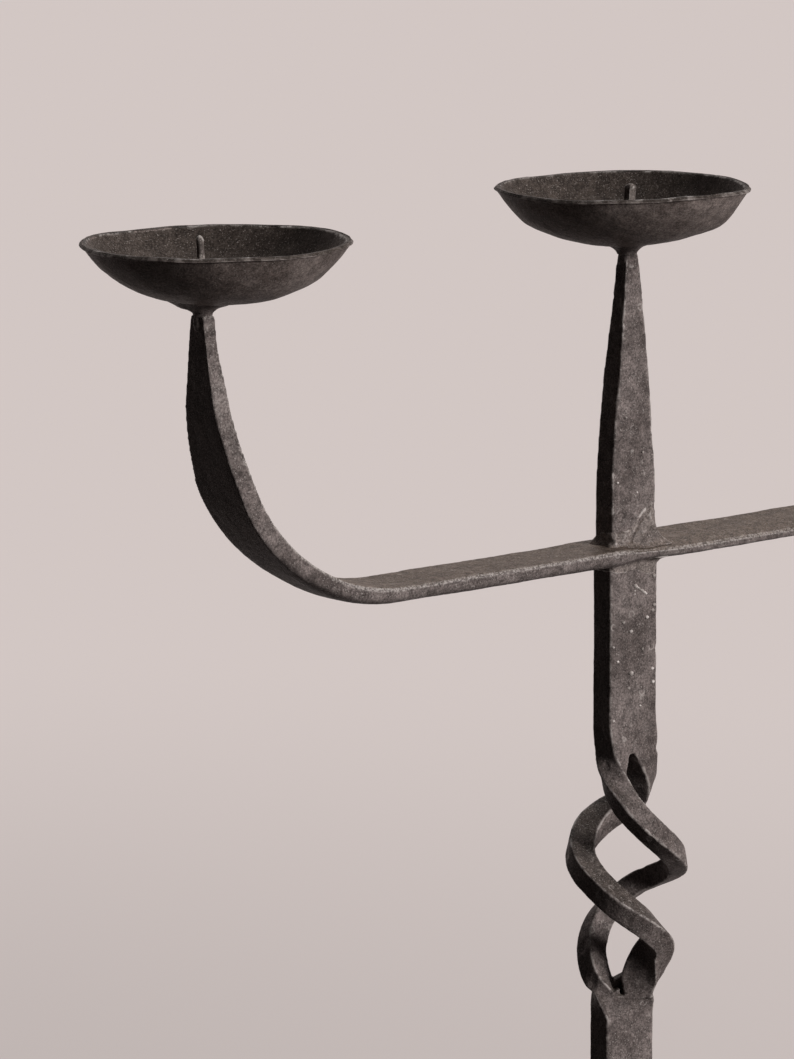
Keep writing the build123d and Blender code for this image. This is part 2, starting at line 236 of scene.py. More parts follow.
def turned_outline(outline, angle):
    """An outline turned about the stem's axis."""
    x = outline[:, 0] * math.cos(angle) - outline[:, 1] * math.sin(angle)
    y = outline[:, 0] * math.sin(angle) + outline[:, 1] * math.cos(angle)
    return np.column_stack([x, y])


def circle_points(count):
    """Points evenly round a circle of radius 1, and the angle of each."""
    turned = np.linspace(0, 2 * math.pi, count, endpoint=False)
    return np.column_stack([np.cos(turned), np.sin(turned)]), turned


def copy_node(name, node):
    """New object with a CAD node's mesh, its split corners joined."""
    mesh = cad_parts[node].data.copy()
    shell = bmesh.new()
    shell.from_mesh(mesh)
    bmesh.ops.remove_doubles(shell, verts=shell.verts, dist=JOIN_GAP * MM)
    shell.to_mesh(mesh)
    shell.free()
    obj = bpy.data.objects.new(name, mesh)
    bpy.context.scene.collection.objects.link(obj)
    return obj


def reskin(obj, voxel):
    """Gives an object one even skin of quads round all its closed shells."""
    remesh = obj.modifiers.new("skin", "REMESH")
    remesh.mode = "VOXEL"
    remesh.voxel_size = voxel * MM
    depsgraph = bpy.context.evaluated_depsgraph_get()
    skinned = bpy.data.meshes.new_from_object(obj.evaluated_get(depsgraph))
    obj.modifiers.clear()
    obj.data = skinned


def read_points(obj):
    """An object's points in millimetres."""
    flat = np.empty(len(obj.data.vertices) * 3)
    obj.data.vertices.foreach_get("co", flat)
    return flat.reshape(-1, 3) / MM


def read_normals(obj):
    flat = np.empty(len(obj.data.vertices) * 3)
    obj.data.vertices.foreach_get("normal", flat)
    return flat.reshape(-1, 3)


def write_points(obj, points):
    obj.data.vertices.foreach_set("co", (points * MM).ravel())
    obj.data.update()


def relax(obj, rounds):
    """Draws every point half way to its neighbours, which rounds the edges."""
    points = read_points(obj)
    ends = np.empty(len(obj.data.edges) * 2, np.int32)
    obj.data.edges.foreach_get("vertices", ends)
    one, other = ends.reshape(-1, 2).T
    size = len(points)
    shared = np.bincount(one, minlength=size) + np.bincount(other, minlength=size)
    for _ in range(rounds):
        total = np.empty_like(points)
        for axis in range(3):
            total[:, axis] = np.bincount(one, weights=points[other, axis], minlength=size)
            total[:, axis] += np.bincount(other, weights=points[one, axis], minlength=size)
        points += 0.5 * (total / shared[:, None] - points)
    write_points(obj, points)


def push_out(obj, points, amount):
    """Moves an object's points out along its normals."""
    write_points(obj, points + read_normals(obj) * amount[:, None])


def hammer(obj, seed, sway=0.25, mark=0.25, mark_size=13.0, chip=0.5, grain=0.05, swell=0.0):
    """Moves a skin in and out: slow sway, hammer marks, chips and a fine grain."""
    points = read_points(obj)
    out = swell + sway * rough(points, SWAY_SIZE, seed, 2)
    out += mark * facets(points, mark_size, seed + 20)
    out -= chip * np.clip(noise(points, CHIP_SIZE, seed + 40) - CHIP_START, 0, 1)
    out += grain * noise(points, SKIN_GRAIN_SIZE, seed + 60)
    push_out(obj, points, out)


def dress(obj, material, slot, *nodes):
    """A finished piece: smooth shading, material, and the CAD nodes it stands for; slot is not used."""
    obj.data.materials.clear()
    obj.data.materials.append(material)
    obj.data.shade_smooth()
    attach(obj, "root")
    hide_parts(*nodes)


# Materials


class NodeKit:
    """Short forms for the nodes of one material or world."""

    def __init__(self, owner):
        owner.use_nodes = True
        self.nodes = owner.node_tree.nodes
        self.links = owner.node_tree.links

    def feed(self, socket, value):
        """Links a socket to another node's output, or sets it to a value."""
        if isinstance(value, bpy.types.NodeSocket):
            self.links.new(value, socket)
        elif socket.type == "RGBA":
            socket.default_value = (*value, 1)
        else:
            socket.default_value = value

    def add(self, kind, sockets, **settings):
        """A new node with its settings made and its sockets fed."""
        node = self.nodes.new(kind)
        for name, value in settings.items():
            setattr(node, name, value)
        for name, value in sockets.items():
            self.feed(node.inputs[name], value)
        return node

    def place(self):
        return self.add("ShaderNodeTexCoord", {}).outputs["Object"]

    def noise(self, place, size, detail, strength):
        sockets = {"Vector": place, "Scale": 1 / (size * MM), "Detail": detail, "Roughness": strength}
        return self.add("ShaderNodeTexNoise", sockets).outputs["Fac"]

    def spread(self, source, low, high, to_low, to_high):
        """A smooth step between two values, while the source goes from low to high."""
        sockets = {"Value": source, "From Min": low, "From Max": high, "To Min": to_low, "To Max": to_high}
        return self.add("ShaderNodeMapRange", sockets, interpolation_type="SMOOTHSTEP").outputs["Result"]

    def combine(self, operation, one, other):
        return self.add("ShaderNodeMath", {0: one, 1: other}, operation=operation).outputs[0]

    def times(self, one, other):
        return self.combine("MULTIPLY", one, other)

    def mix(self, factor, one, other):
        sockets = {"Factor": factor, "A": one, "B": other}
        return self.add("ShaderNodeMix", sockets, data_type="RGBA").outputs["Result"]

    def shaded(self, colour, factor):
        return self.add("ShaderNodeVectorMath", {0: colour, "Scale": factor}, operation="SCALE").outputs[0]

    def bump(self, height, strength, depth, **under):
        sockets = {"Height": height, "Strength": strength, "Distance": depth * MM, **under}
        return self.add("ShaderNodeBump", sockets).outputs["Normal"]


# Sizes of the iron's marks, and over what change of slope the darker colour on top fades in: dust, and on the
# bars also painted shade
PATCH_SIZE = 21.0
MOTTLE_SIZE = 4.2
GRAIN_SIZE = 0.9
SPECKLE_SIZE = 0.55
BLISTER_SIZE = 5.0
SETTLE_SPAN = 0.33


def blister_rims(kit, place, mottle, strength):
    """Raised rims of blisters, in a few cells of a cell pattern and broken by the mottle."""
    sockets = {"Vector": place, "Scale": 1 / (BLISTER_SIZE * MM), "Randomness": 1.0}
    cells = kit.add("ShaderNodeTexVoronoi", sockets)
    distance = cells.outputs["Distance"]
    rim = kit.times(kit.spread(distance, 0.16, 0.25, 0.0, 1.0), kit.spread(distance, 0.27, 0.38, 1.0, 0.0))
    chosen = kit.add("ShaderNodeSeparateXYZ", {0: cells.outputs["Color"]}).outputs["X"]
    rim = kit.times(rim, kit.spread(chosen, 0.76, 0.90, 0.0, strength))
    return kit.times(rim, kit.spread(mottle, 0.46, 0.60, 0.0, 1.0))


def iron(name, scale, bare, worn_and_highlight, settled_dust_and_shade, cover, slope, wear, ridge, blister, grain_depth):
    """Forged iron: dark scale, paler bare patches, rubbed edges, blisters, grain, a painted highlight on
    faces tilted part way up, and a darker colour on upward faces: dust, and on the bars also painted shade.
    """
    material = bpy.data.materials.new(name)
    kit = NodeKit(material)
    place = kit.place()
    patches = kit.noise(place, PATCH_SIZE, 5.0, 0.62)
    mottle = kit.noise(place, MOTTLE_SIZE, 3.0, 0.6)
    grain = kit.noise(place, GRAIN_SIZE, 3.0, 0.7)
    # Its brightest specks are painted glints, laid on in the paler colour
    speckle = kit.noise(place, SPECKLE_SIZE, 1.0, 0.5)

    shape = kit.add("ShaderNodeNewGeometry", {})
    upward = kit.add("ShaderNodeSeparateXYZ", {0: shape.outputs["Normal"]}).outputs["Z"]
    edge = kit.spread(shape.outputs["Pointiness"], 0.508, 0.55, 0.0, wear)
    edge = kit.times(edge, kit.spread(mottle, 0.42, 0.58, 0.1, 1.0))
    # Painted highlight: the paler rubbed colour on faces tilted part way up, along the arm's upper front
    # edge, standing in for the lamp's glint there
    painted_ridge_highlight = kit.spread(upward, 0.10, 0.40, 0.0, ridge)
    painted_ridge_highlight = kit.times(painted_ridge_highlight, kit.spread(upward, 0.58, 0.88, 1.0, 0.0))
    painted_ridge_highlight = kit.times(painted_ridge_highlight, kit.spread(grain, 0.42, 0.62, 0.15, 1.0))
    rim = blister_rims(kit, place, mottle, blister)

    colour = kit.mix(kit.spread(patches, 0.36, 0.64, 0.0, 1.0), scale, bare)
    # Darker colour on upward faces: dust on most irons, and on the bars dirt with painted shade on the
    # twist's upward faces
    colour = kit.mix(kit.spread(upward, slope, slope + SETTLE_SPAN, 0.0, cover), colour, settled_dust_and_shade)
    colour = kit.shaded(colour, kit.spread(mottle, 0.3, 0.7, 0.74, 1.28))
    colour = kit.shaded(colour, kit.spread(grain, 0.25, 0.75, 0.45, 1.58))
    # The paler colour goes on bright specks as painted glints, on blister rims, on the painted highlight and
    # on rubbed edges
    for bright in (kit.spread(speckle, 0.62, 0.74, 0.0, 0.6), rim, painted_ridge_highlight, edge):
        colour = kit.mix(bright, colour, worn_and_highlight)
    normal = kit.bump(patches, 0.5, 0.6)
    normal = kit.bump(mottle, 0.6, 0.35, Normal=normal)
    normal = kit.bump(rim, 1.0, 0.22, Normal=normal)
    normal = kit.bump(grain, 1.0, grain_depth, Normal=normal)

    shader = kit.nodes["Principled BSDF"]
    shader.inputs["Metallic"].default_value = 0.0
    kit.feed(shader.inputs["Base Color"], colour)
    kit.feed(shader.inputs["Roughness"], kit.spread(grain, 0.3, 0.7, 0.56, 0.42))
    kit.feed(shader.inputs["Specular IOR Level"], kit.spread(edge, 0.0, 0.7, 0.03, 0.5))
    kit.feed(shader.inputs["Normal"], normal)
    return material


SCALE = (0.094, 0.077, 0.073)
BARE = (0.165, 0.138, 0.132)
# Paler colour of rubbed metal, also used for painted highlights and glints
WORN_AND_HIGHLIGHT = (0.46, 0.42, 0.40)
# The bars' darker colour for upward faces: dirt, and painted shade on the twist's upward faces
GRIME_AND_PAINTED_SHADE = (0.066, 0.054, 0.048)
BROWN_DUST = (0.126, 0.097, 0.079)
SOOT = (0.046, 0.037, 0.032)

bar_iron = iron(
    "forged_iron", SCALE, BARE, WORN_AND_HIGHLIGHT, GRIME_AND_PAINTED_SHADE,
    cover=0.85, slope=0.45, wear=0.65, ridge=0.0, blister=0.5, grain_depth=0.16,
)
# On the arm, the ridge setting paints a highlight along the upper front edge
arm_iron = iron(
    "arm_iron", SCALE, BARE, WORN_AND_HIGHLIGHT, BROWN_DUST,
    cover=0.9, slope=0.45, wear=0.25, ridge=0.9, blister=0.4, grain_depth=0.16,
)
pan_iron = iron(
    "pan_iron", (0.100, 0.079, 0.072), (0.178, 0.146, 0.135), (0.36, 0.32, 0.30), SOOT,
    cover=0.92, slope=0.28, wear=0.45, ridge=0.0, blister=0.1, grain_depth=0.14,
)
spike_iron = iron(
    "pricket_iron", (0.080, 0.065, 0.059), (0.14, 0.117, 0.109), (0.50, 0.46, 0.43), BROWN_DUST,
    cover=0.3, slope=0.45, wear=0.8, ridge=0.0, blister=0.2, grain_depth=0.12,
)
weld_iron = iron(
    "weld_iron", (0.125, 0.104, 0.096), (0.24, 0.204, 0.19), (0.54, 0.49, 0.47), BROWN_DUST,
    cover=0.5, slope=0.45, wear=0.7, ridge=0.0, blister=0.3, grain_depth=0.20,
)
spatter_iron = iron(
    "spatter_iron", (0.26, 0.225, 0.21), (0.40, 0.36, 0.34), (0.66, 0.61, 0.59), BROWN_DUST,
    cover=0.2, slope=0.45, wear=0.8, ridge=0.0, blister=0.3, grain_depth=0.10,
)


# Arm: how far its edges are rounded, and with what power of curve
RIDGE_ROUND = 1.8
RIDGE_POWER = 2.6
BELLY_ROUND = 7.5
BELLY_POWER = 2.2
# Where along the bend the arm stops lying flat, and where the rounding below fades out
LYING_FADE = (15.0, 60.0)
BELLY_FADE = (34.0, 80.0)
# Thinner front right of the stem, thicker belly left of it
FRONT_THINNING = 0.9
BELLY_DROP = 0.7
FRONT_PART = (3.0, 13.0)
RIGHT_PART = (-14.0, 4.0)
# Small turn right of the stem
ARM_TURN = math.radians(4.2)
TURN_PART = (-4.0, 24.0)
# Pinch at the crossing
PINCH_X = 1.0
PINCH_SPAN = 12.0
PINCH_IN = 1.2
PINCH_DOWN = 0.6
PINCH_PART = (6.0, 12.0)
# Standing ends: a slight bow inward, wider there, and thinner tips
RISE_START = 30.0
BOW_LEVEL = 460.0
BOW_SPAN = 22.0
BOW_IN = 1.6
BOW_WIDENING_SHARE = 0.05
TIP_PART = (482.0, 504.0)
TIP_THINNING_SHARE = 0.23


def arm_course(points):
    """Where points lie in the arm: end, way round the bend, level from -1 to 1, and how flat it lies."""
    along = np.clip(np.abs(points[:, 0]) - ARM_BEND_X, 0, None)
    away = np.hypot(along, ARM_BEND_Z - points[:, 2])
    level = np.clip((ARM_BEND_RADIUS - ARM_HALF - away) / ARM_HALF, -1.2, 1.2)
    lying = 1 - ramp(along, *LYING_FADE)
    return SimpleNamespace(end=np.sign(points[:, 0]), along=along, away=away, level=level, lying=lying)


def round_arm_edges(points, course):
    """A narrow ridge along the top edges of the lying arm, and wide round edges below."""
    upper = course.level > 0
    extent = np.where(upper, RIDGE_ROUND, BELLY_ROUND)
    power = np.where(upper, RIDGE_POWER, BELLY_POWER)
    corner = np.clip(1 - (ARM_DEPTH / 2 - np.abs(points[:, 1])) / extent, 0, None)
    length = (corner**power + np.abs(course.level) ** power) ** (1 / power)
    square = np.maximum(corner, np.abs(course.level))
    shrink = np.where(corner > 0, square / np.maximum(length, 0.001), 1.0)
    shrink = 1 + (shrink - 1) * np.where(upper, course.lying, 1 - ramp(course.along, *BELLY_FADE))
    rounded = np.sign(points[:, 1]) * (ARM_DEPTH / 2 - extent * (1 - corner * shrink))
    points[:, 1] = np.where(corner > 0, rounded, points[:, 1])
    lowered = course.level * ARM_HALF * (shrink - 1)
    points[:, 0] -= course.along * course.end / course.away * lowered
    points[:, 2] -= (points[:, 2] - ARM_BEND_Z) / course.away * lowered


def forge_arm(points, course):
    """Handwork: thinner front right of the stem, a small turn, the pinch, the bow and the thinner tips."""
    front = ramp(-points[:, 1], *FRONT_PART) * course.lying
    right_part = ramp(points[:, 0], *RIGHT_PART)
    points[:, 2] -= FRONT_THINNING * course.level * front * right_part
    points[:, 2] += BELLY_DROP * np.minimum(course.level, 0) * course.lying * (1 - right_part)
    turn = ARM_TURN * ramp(points[:, 0], *TURN_PART) * course.lying
    raised = points[:, 2] - ARM_TOP + ARM_HALF
    points[:, 2] += np.sin(turn) * points[:, 1] + (np.cos(turn) - 1) * raised
    near = hump(points[:, 0], PINCH_X, PINCH_SPAN) * ramp(-points[:, 1], *PINCH_PART)
    points[:, 1] += PINCH_IN * near
    points[:, 2] -= PINCH_DOWN * near * np.clip(course.level, 0, 1)

    risen = course.along > RISE_START
    bow = hump(points[:, 2], BOW_LEVEL, BOW_SPAN) * risen
    drop = np.clip(ARM_BEND_Z - points[:, 2], 0, ARM_BEND_RADIUS)
    outer = ARM_BEND_X + np.sqrt(ARM_BEND_RADIUS**2 - drop**2)
    tip = ramp(points[:, 2], *TIP_PART) * risen
    points[:, 0] += course.end * TIP_THINNING_SHARE * tip * (outer - np.abs(points[:, 0]))
    points[:, 0] -= course.end * BOW_IN * bow
    points[:, 1] *= 1 + BOW_WIDENING_SHARE * bow


def arm_piece():
    """The cross arm: a ridge along its top edges, rounded below, and forged thinner right of the stem."""
    arm = copy_node("cross_arm_forged", "cross_arm")
    reskin(arm, voxel=0.6)
    relax(arm, rounds=1)
    points = read_points(arm)
    course = arm_course(points)
    round_arm_edges(points, course)
    forge_arm(points, course)
    write_points(arm, points)
    relax(arm, rounds=1)
    hammer(arm, 3, sway=0.35, mark=0.3, mark_size=17.0, chip=0.3, swell=0.12)
    dress(arm, arm_iron, "forged_iron", "cross_arm")


# Spatter: place along the arm, level and size of each drop on the fronts of the two stems
STEM_DROPS = (
    (1.1, 382.8, 1.0), (1.7, 382.2, 0.9), (2.5, 381.8, 0.6), (3.2, 381.4, 0.7), (4.0, 380.8, 0.6),
    (4.7, 380.5, 0.75), (5.4, 379.9, 0.6), (6.2, 379.5, 0.7), (7.0, 378.9, 0.55), (1.0, 380.8, 0.45),
    (0.9, 379.4, 0.4), (11.2, 385.7, 1.0), (11.3, 373.8, 1.0), (10.6, 371.6, 1.0), (-5.2, 368.6, 0.9),
    (-1.1, 364.4, 1.0), (5.0, 356.4, 0.8), (10.4, 347.5, 0.9), (10.8, 342.0, 1.0), (-1.1, 347.1, 1.3),
    (-2.2, 341.1, 0.8), (-8.2, 352.8, 0.8), (7.5, 369.1, 1.0), (-10.6, 359.0, 0.7), (-10.4, 328.7, 0.7),
    (4.0, 333.0, 0.6),
)
UPPER_DROPS = ((5.0, 437.0, 0.7), (-4.0, 452.0, 0.6), (-8.4, 426.0, 0.6), (2.0, 421.0, 0.5))
DROP_DEPTH_SHARE = 0.75
DROP_HEIGHT_SHARE = 0.8


def add_drops(obj, drops, face):
    """Sets small flat drops of spatter on an object's front face."""
    obj.data.materials.append(spatter_iron)
    shell = bmesh.new()
    shell.from_mesh(obj.data)
    for x, level, size in drops:
        place = Matrix.Translation((x * MM, face * MM, level * MM))
        shape = Matrix.Diagonal((size * MM, DROP_DEPTH_SHARE * size * MM, DROP_HEIGHT_SHARE * size * MM, 1))
        made = bmesh.ops.create_icosphere(shell, subdivisions=2, radius=1.0, matrix=place @ shape)
        for vertex in made["verts"]:
            for side in vertex.link_faces:
                side.material_index = 1
                side.smooth = True
    shell.to_mesh(obj.data)
    shell.free()


# Upper stem: hollows with a raised rim beside the weld, given by place along the arm, level, size and depth
UPPER_DENTS = ((-6.3, 412.0, 2.1, 1.0), (-1.5, 410.5, 1.6, 0.6), (3.2, 413.0, 1.5, 0.7))
DENT_RIM_SHARE = 0.35
DENT_RIM_AT = 1.5
DENT_RIM_SPAN = 0.5
UPPER_FRONT = (3.5, 4.8)
# Its lean at the neck, its right edge further out, and its waist
NECK_LEAN = 1.2
NECK_LEAN_PART = (450.0, 510.0)
RIGHT_EDGE_OUT = 1.0
WAIST_LEVEL = 447.0
WAIST_SPAN = 17.0
WAIST_SHARE = 0.08


def upper_stem_piece():
    """The upper stem: dented beside the weld, leaning a little at its neck, with drops of spatter."""
    stem = copy_node("upper_stem_forged", "upper_stem")
    reskin(stem, voxel=0.6)
    relax(stem, rounds=1)
    hammer(stem, 7, sway=0.3, mark=0.3, mark_size=11.0, chip=0.9, swell=0.12)
    points = read_points(stem)
    on_front = ramp(-points[:, 1], *UPPER_FRONT)
    for x, level, size, depth in UPPER_DENTS:
        away = np.hypot(points[:, 0] - x, points[:, 2] - level) / size
        dent = hump(away, 0.0, 1.0) - DENT_RIM_SHARE * hump(away, DENT_RIM_AT, DENT_RIM_SPAN)
        points[:, 1] += on_front * depth * dent
    lean = NECK_LEAN * ramp(points[:, 2], *NECK_LEAN_PART)
    points[:, 0] += lean + RIGHT_EDGE_OUT * np.clip(points[:, 0] / (UPPER_WIDTH / 2), 0, 1)
    points[:, 1] *= 1 - WAIST_SHARE * hump(points[:, 2], WAIST_LEVEL, WAIST_SPAN)
    write_points(stem, points)
    dress(stem, bar_iron, "forged_iron", "upper_stem")
    add_drops(stem, UPPER_DROPS, -UPPER_THICKNESS / 2)


def foot_piece(node, seed):
    """A bar of the base, its soles flat on the floor."""
    bar = copy_node(node + "_forged", node)
    reskin(bar, voxel=1.0)
    relax(bar, rounds=4)
    hammer(bar, seed, sway=0.25, mark=0.3, mark_size=15.0, chip=0.4)
    points = read_points(bar)
    points[:, 2] = np.maximum(points[:, 2], 0)
    write_points(bar, points)
    dress(bar, bar_iron, "forged_iron", node)


def washer_piece():
    washer = copy_node("tenon_washer_forged", "tenon_washer")
    reskin(washer, voxel=0.5)
    relax(washer, rounds=2)
    hammer(washer, 95, sway=0.1, mark=0.12, mark_size=7.0, chip=0.2)
    dress(washer, bar_iron, "forged_iron", "tenon_washer")


# Lower stem


def read_table(table, share):
    """A table's value part of the way down the split, on a smooth curve through its stations."""

    def slope(index):
        before, after = max(index - 1, 0), min(index + 1, len(table) - 1)
        return (table[after] - table[before]) / (STATION_SHARES[after] - STATION_SHARES[before])

    below = 1
    while STATION_SHARES[below] < share:
        below += 1
    above = below - 1
    span = STATION_SHARES[below] - STATION_SHARES[above]
    part = (share - STATION_SHARES[above]) / span
    value = table[above] + part**2 * (3 - 2 * part) * (table[below] - table[above])
    return value + span * part * (1 - part) * (slope(above) * (1 - part) - slope(below) * part)


def strand_rings(start_angle, width, going_round, swell, facing, widths):
    """Rings of points down one strand, from just inside the bar above to just inside the one below."""
    end_reach = (STEM_WIDTH - width) / 2 - STRAND_SHOULDER

    def middle(share):
        angle = math.radians(start_angle + 360 * read_table(going_round, share))
        reach = end_reach + read_table(swell, share) * (BASKET_RADIUS - end_reach)
        return np.array((reach * math.cos(angle), reach * math.sin(angle), SPLIT_TOP - SPLIT_LENGTH * share))

    rings = []
    for share in np.linspace(0, 1, STRAND_SECTIONS):
        along = np.array((0.0, 0.0, -1.0))
        if COURSE_STEP_SHARE < share < 1 - COURSE_STEP_SHARE:
            course = middle(share + COURSE_STEP_SHARE) - middle(share - COURSE_STEP_SHARE)
            lean = min(1, share / LEAN_SHARE, (1 - share) / LEAN_SHARE)
            along = along * (1 - lean) + course / np.linalg.norm(course) * lean
            along /= np.linalg.norm(along)
        turn = math.radians(start_angle + 360 * read_table(facing, share))
        across = np.array((math.cos(turn), math.sin(turn), 0.0))
        across -= along * across.dot(along)
        across /= np.linalg.norm(across)
        beside = np.cross(along, across)
        root = 1 - min(1, share / STRAND_ROOT_SHARE, (1 - share) / STRAND_ROOT_SHARE)
        thick = STRAND_THICKNESS * (1 - STRAND_THINNING_SHARE * math.sin(math.pi * share))
        thick += (STEM_THICKNESS - STRAND_THICKNESS) * root
        outline = box_outline(width * read_table(widths, share), thick, STRAND_CORNER)
        rings.append(middle(share) + outline[:, :1] * across + outline[:, 1:] * beside)
    lift = np.array((0.0, 0.0, STRAND_ROOT))
    return [rings[0] + lift, *rings, rings[-1] - lift]


def turned_rings(level, twist, turn, end):
    """Rings of the solid bar from the split, where it is turned with the strands, to its far end."""
    outline = box_outline(STEM_WIDTH, STEM_THICKNESS, STEM_CORNER)
    rings = []
    for away in np.linspace(0, 1, TWIST_SECTIONS):
        angle = math.radians(turn) * (1 - away) ** TWIST_EASE_POWER
        rings.append(level_ring(turned_outline(outline, angle), level + twist * away))
    return [*rings, level_ring(outline, end)]


# Webs in the split's foot, each by its place along and across the arm, width, depth and height
WEBS = ((-1.4, 2.6, 4.4, 5.0, 7.0), (-2.7, 0.2, 2.2, 9.6, 3.6))
WEB_CORNER = 0.4
WEB_SLOPE = 0.5
WEB_ROOT = 2.0


def web_rings(x_place, y_place, width, depth, height):
    """A web left in the split's foot, where the cut from the front ends in a notch."""
    outline = box_outline(width, depth, WEB_CORNER) + np.array((x_place, y_place))
    turned = turned_outline(outline, math.radians(FOOT_TURN))
    top = SPLIT_FOOT + height + WEB_SLOPE * outline[:, 0]
    return [level_ring(turned, SPLIT_FOOT - WEB_ROOT), level_ring(turned, top)]


# The lower stem's sides: the shank further out at the left, the bar spread to the right above the split
SHANK_OUT = 0.9
SHANK_FADE = 12.0
SPREAD_OUT = 1.2
SPREAD_MORE = 1.6
SPREAD_MORE_ABOVE = 3.0
SPREAD_MORE_SPAN = 7.0
SPREAD_PART = (SPLIT_TOP - 11.0, SPLIT_TOP + 1.0)
# How far the bar, the tenon and its head run into what they meet
HEAD_OVERLAP = 0.5
TENON_INTO_RIVET = 1.0
TENON_INTO_BAR = 2.0


def lower_stem_shells():
    """Closed shells, each a list of rings: two bars, tenon, rivet head, two strands and the webs."""
    circle, _ = circle_points(TENON_AROUND)
    washer_foot = BAR_UNDERSIDE - WASHER_THICKNESS
    tenon = (washer_foot - TENON_INTO_RIVET, BAR_TOP + TENON_INTO_BAR)
    rivet = (washer_foot - RIVET_HEIGHT, washer_foot)
    left = (LEFT_ROUND_SHARES, LEFT_SWELL_SHARES, LEFT_FACING_SHARES, LEFT_WIDTH_SHARES)
    right = (RIGHT_ROUND_SHARES, RIGHT_SWELL_SHARES, RIGHT_FACING_SHARES, RIGHT_WIDTH_SHARES)
    return [
        turned_rings(SPLIT_TOP, HEAD_TWIST_LENGTH, HEAD_TURN, ARM_BOTTOM + HEAD_OVERLAP),
        turned_rings(SPLIT_FOOT, -FOOT_TWIST_LENGTH, FOOT_TURN, BAR_TOP)[::-1],
        [level_ring(circle * TENON_RADIUS, level) for level in tenon],
        [level_ring(circle * RIVET_RADIUS, level) for level in rivet],
        strand_rings(180, LEFT_STRAND_WIDTH, *left)[::-1],
        strand_rings(0, RIGHT_STRAND_WIDTH, *right)[::-1],
        *(web_rings(*web) for web in WEBS),
    ]


def lower_stem_piece():
    """The lower stem in one skin: bar, two twisted strands, bar, tenon and rivet head."""
    points = []
    faces = []
    for rings in lower_stem_shells():
        faces += tube_faces(len(rings), len(rings[0]), sum(len(ring) for ring in points))
        points += rings
    stem = add_object("lower_stem_forged", np.concatenate(points), faces)
    reskin(stem, voxel=0.5)
    relax(stem, rounds=2)
    hammer(stem, 12, sway=0.25, mark=0.22, mark_size=10.0, chip=0.8, swell=0.12)
    points = read_points(stem)
    half_width = STEM_WIDTH / 2
    shank = ramp(-points[:, 2], -SPLIT_FOOT, -SPLIT_FOOT + SHANK_FADE) * (points[:, 2] > BAR_TOP)
    points[:, 0] -= SHANK_OUT * shank * np.clip(-points[:, 0] / half_width, 0, 1)
    more = SPREAD_MORE * hump(points[:, 2], SPLIT_TOP + SPREAD_MORE_ABOVE, SPREAD_MORE_SPAN)
    spread_out = (SPREAD_OUT + more) * ramp(points[:, 2], *SPREAD_PART)
    points[:, 0] += spread_out * np.clip(points[:, 0] / half_width, 0, 1)
    write_points(stem, points)
    dress(stem, bar_iron, "forged_iron", "lower_stem")
    add_drops(stem, STEM_DROPS, -STEM_THICKNESS / 2)


# Pans: a slight hollow under the rim, the bevel by drop and inset of each point, and the flat top by insets
PAN_MIDDLE = 0.4
RIM_HOLLOW = 0.15
RIM_HOLLOW_BELOW = 3.2
RIM_HOLLOW_SPAN = 1.4
RIM_BEVEL = ((1.2, 0.12), (1.0, 0.08), (0.86, 0.14), (0.12, 0.80), (0.0, 1.0), (0.0, 1.2))
RIM_FLAT = (1.5, 0.9, 0.35, 0.1)
FLOOR_SECTIONS = 10
WALL_SECTIONS = 44
# How far the rim strays in and out as a share, and up and down, and the sizes of that noise on a circle
RIM_WOBBLE_SHARE = 0.010
RIM_WOBBLE_SIZE = 26.0
RIM_UNEVEN = 0.55
RIM_UNEVEN_SIZE = 27.0
RIM_NOISE_RADIUS = 30.0
PAN_AROUND = 200
BULGE_SPAN = 7.0
BULGE_OUT_SHARE = 0.7


def pan_profile():
    """Reach and level of points round a pan's wall: outer face, blunt rim and inner face."""
    inner = PAN_SWEEP - PAN_WALL
    top = math.acos(1 - PAN_DEPTH / PAN_SWEEP)
    inner_top = math.acos((PAN_SWEEP - PAN_DEPTH) / inner)
    inner_rim = PAN_FLOOR_RADIUS + inner * math.sin(inner_top)
    floor_reaches = np.linspace(PAN_MIDDLE, PAN_FLOOR_RADIUS, FLOOR_SECTIONS)
    profile = [(reach, 0.0) for reach in floor_reaches]
    for turn in np.linspace(0, top, WALL_SECTIONS)[1:-1]:
        level = PAN_SWEEP * (1 - math.cos(turn))
        hollow = RIM_HOLLOW * hump(level, PAN_DEPTH - RIM_HOLLOW_BELOW, RIM_HOLLOW_SPAN)
        profile.append((PAN_FLOOR_RADIUS + PAN_SWEEP * math.sin(turn) - hollow, level))
    profile += [(PAN_RADIUS - inset, PAN_DEPTH - drop) for drop, inset in RIM_BEVEL]
    profile += [(inner_rim + inset, PAN_DEPTH) for inset in RIM_FLAT]
    for turn in np.linspace(inner_top, 0, WALL_SECTIONS)[:-1]:
        profile.append((PAN_FLOOR_RADIUS + inner * math.sin(turn), PAN_SWEEP - inner * math.cos(turn)))
    return profile + [(reach, PAN_WALL) for reach in reversed(floor_reaches)]


